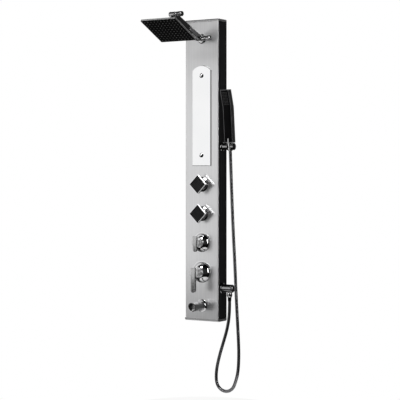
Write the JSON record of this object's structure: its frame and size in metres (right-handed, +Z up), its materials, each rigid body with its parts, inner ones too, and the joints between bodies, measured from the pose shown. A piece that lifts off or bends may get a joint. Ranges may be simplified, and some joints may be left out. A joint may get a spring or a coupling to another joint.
{
  "type": "shower panel column",
  "caption": "Wall-hung shower column with an adjustable rain head, mirror, body jets, diverter, mixer lever, tub spout and a handset on a metal hose.",
  "frame": {"origin": "on the wall plane, midway between the upper wall bracket's two screw holes", "axes": "+X to the viewer's right across the panel, -Y out of the wall into the room, +Z up along the column"},
  "size_m": [0.3096, 0.4668, 1.8637],
  "materials": {
    "brushed_stainless": "vertical brushed",
    "black_profile": "satin black",
    "silver_cap": "satin silver",
    "mirror_glass": "polished mirror",
    "chrome": "polished",
    "satin_chrome": "satin",
    "black_rubber": "matt",
    "black_plastic": "gloss",
    "plated_plastic": "chrome plated",
    "hose_metal": "polished, ribbed",
    "galvanised": "dull zinc",
    "brass": "machined",
    "white_tube": "matt",
    "braid": "woven"
  },
  "bodies": {
    "column": {"front_panel": "brushed_stainless", "left_side_rail": "black_profile", "right_side_rail": "black_profile", "top_cap": "silver_cap", "bottom_cap": "silver_cap", "back_straps": "galvanised", "strap_rivets": "galvanised", "wall_brackets": "galvanised", "mirror_plate": "mirror_glass", "mirror_screws": "chrome", "arm_rosette": "chrome", "arm_base": "chrome", "arm_base_nut": "brass", "lower_pivot_bolt": "chrome", "upper_jet_rosette": "chrome", "upper_jet_stem": "chrome", "lower_jet_rosette": "chrome", "lower_jet_stem": "chrome", "diverter_escutcheon": "chrome", "diverter_cartridge": "brass", "diverter_body": "brass", "mixer_escutcheon": "chrome", "mixer_cartridge": "brass", "mixer_body": "brass", "tub_spout": "chrome", "spout_aerator": "satin_chrome", "outlet_rosette": "chrome", "outlet_elbow": "chrome", "outlet_nut": "chrome", "hose_ferrule": "black_plastic", "shower_hose": "hose_metal", "holder_rosette": "chrome", "holder_arm": "chrome", "supply_tubes": "white_tube", "riser_tube": "white_tube", "outlet_tubes": "white_tube", "inlet_hoses": "braid", "inlet_nuts": "brass"},
    "arm": {"shower_arm": "chrome"},
    "lower_knob": {"lower_clamp_knob": "chrome"},
    "head_neck": {"head_elbow": "chrome", "upper_pivot_bolt": "chrome"},
    "upper_knob": {"upper_clamp_knob": "chrome"},
    "head_seat": {"head_seal_ring": "white_tube"},
    "rain_head": {"rain_head_shell": "chrome", "rain_head_face": "black_rubber", "head_collar_nut": "chrome"},
    "upper_jet_seat": {"upper_jet_ring": "white_tube"},
    "upper_jet": {"upper_jet_body": "chrome", "upper_jet_pad": "black_rubber"},
    "lower_jet_seat": {"lower_jet_ring": "white_tube"},
    "lower_jet": {"lower_jet_body": "chrome", "lower_jet_pad": "black_rubber"},
    "diverter": {"diverter_handle": "satin_chrome"},
    "mixer": {"mixer_handle": "satin_chrome"},
    "cradle": {"holder_cradle": "chrome"},
    "handset": {"hose_cone": "black_plastic", "handset_shell": "plated_plastic", "handset_face": "black_plastic", "handset_neck": "chrome"}
  },
  "joints": [
    {"name": "arm_tilt", "type": "hinge", "parent": "column", "child": "arm", "pos_m": [0, -0.1, 0.104], "axis": [1, 0, 0], "range_deg": [-35, 35]},
    {"name": "lower_knob_turn", "type": "hinge", "parent": "column", "child": "lower_knob", "pos_m": [0, -0.1, 0.104], "axis": [1, 0, 0], "range_deg": [0, 180]},
    {"name": "head_tilt", "type": "hinge", "parent": "arm", "child": "head_neck", "pos_m": [0, -0.33736, 0.1999], "axis": [1, 0, 0], "range_deg": [-18, 34]},
    {"name": "upper_knob_turn", "type": "hinge", "parent": "head_neck", "child": "upper_knob", "pos_m": [0, -0.33736, 0.1999], "axis": [1, 0, 0], "range_deg": [0, 180]},
    {"name": "head_spin", "type": "hinge", "parent": "head_neck", "child": "head_seat", "pos_m": [0, -0.3675, 0.13672], "axis": [0, 0.4305, 0.9026], "continuous": true},
    {"name": "head_rock", "type": "hinge", "parent": "head_seat", "child": "rain_head", "pos_m": [0, -0.3675, 0.13672], "axis": [1, 0, 0], "range_deg": [-10, 10]},
    {"name": "upper_jet_tilt", "type": "hinge", "parent": "column", "child": "upper_jet_seat", "pos_m": [0, -0.094, -0.62], "axis": [1, 0, 0], "range_deg": [-15, 15]},
    {"name": "upper_jet_swivel", "type": "hinge", "parent": "upper_jet_seat", "child": "upper_jet", "pos_m": [0, -0.094, -0.62], "axis": [0, 0, 1], "range_deg": [-15, 15]},
    {"name": "lower_jet_tilt", "type": "hinge", "parent": "column", "child": "lower_jet_seat", "pos_m": [0, -0.094, -0.766], "axis": [1, 0, 0], "range_deg": [-15, 15]},
    {"name": "lower_jet_swivel", "type": "hinge", "parent": "lower_jet_seat", "child": "lower_jet", "pos_m": [0, -0.094, -0.766], "axis": [0, 0, 1], "range_deg": [-15, 15]},
    {"name": "diverter_turn", "type": "hinge", "parent": "column", "child": "diverter", "pos_m": [0, -0.076, -0.909], "axis": [0, 1, 0], "range_deg": [-135, 135]},
    {"name": "mixer_turn", "type": "hinge", "parent": "column", "child": "mixer", "pos_m": [0, -0.076, -1.056], "axis": [0, -1, 0], "range_deg": [0, 170]},
    {"name": "holder_tilt", "type": "hinge", "parent": "column", "child": "cradle", "pos_m": [0.143, -0.041, -0.433], "axis": [1, 0, 0], "range_deg": [-15, 25], "deforming": ["shower_hose"]},
    {"name": "handset_lift", "type": "slide", "parent": "cradle", "child": "handset", "axis": [0, -0.0872, 0.9962], "range_m": [0, 0.045], "deforming": ["shower_hose"]}
  ]
}
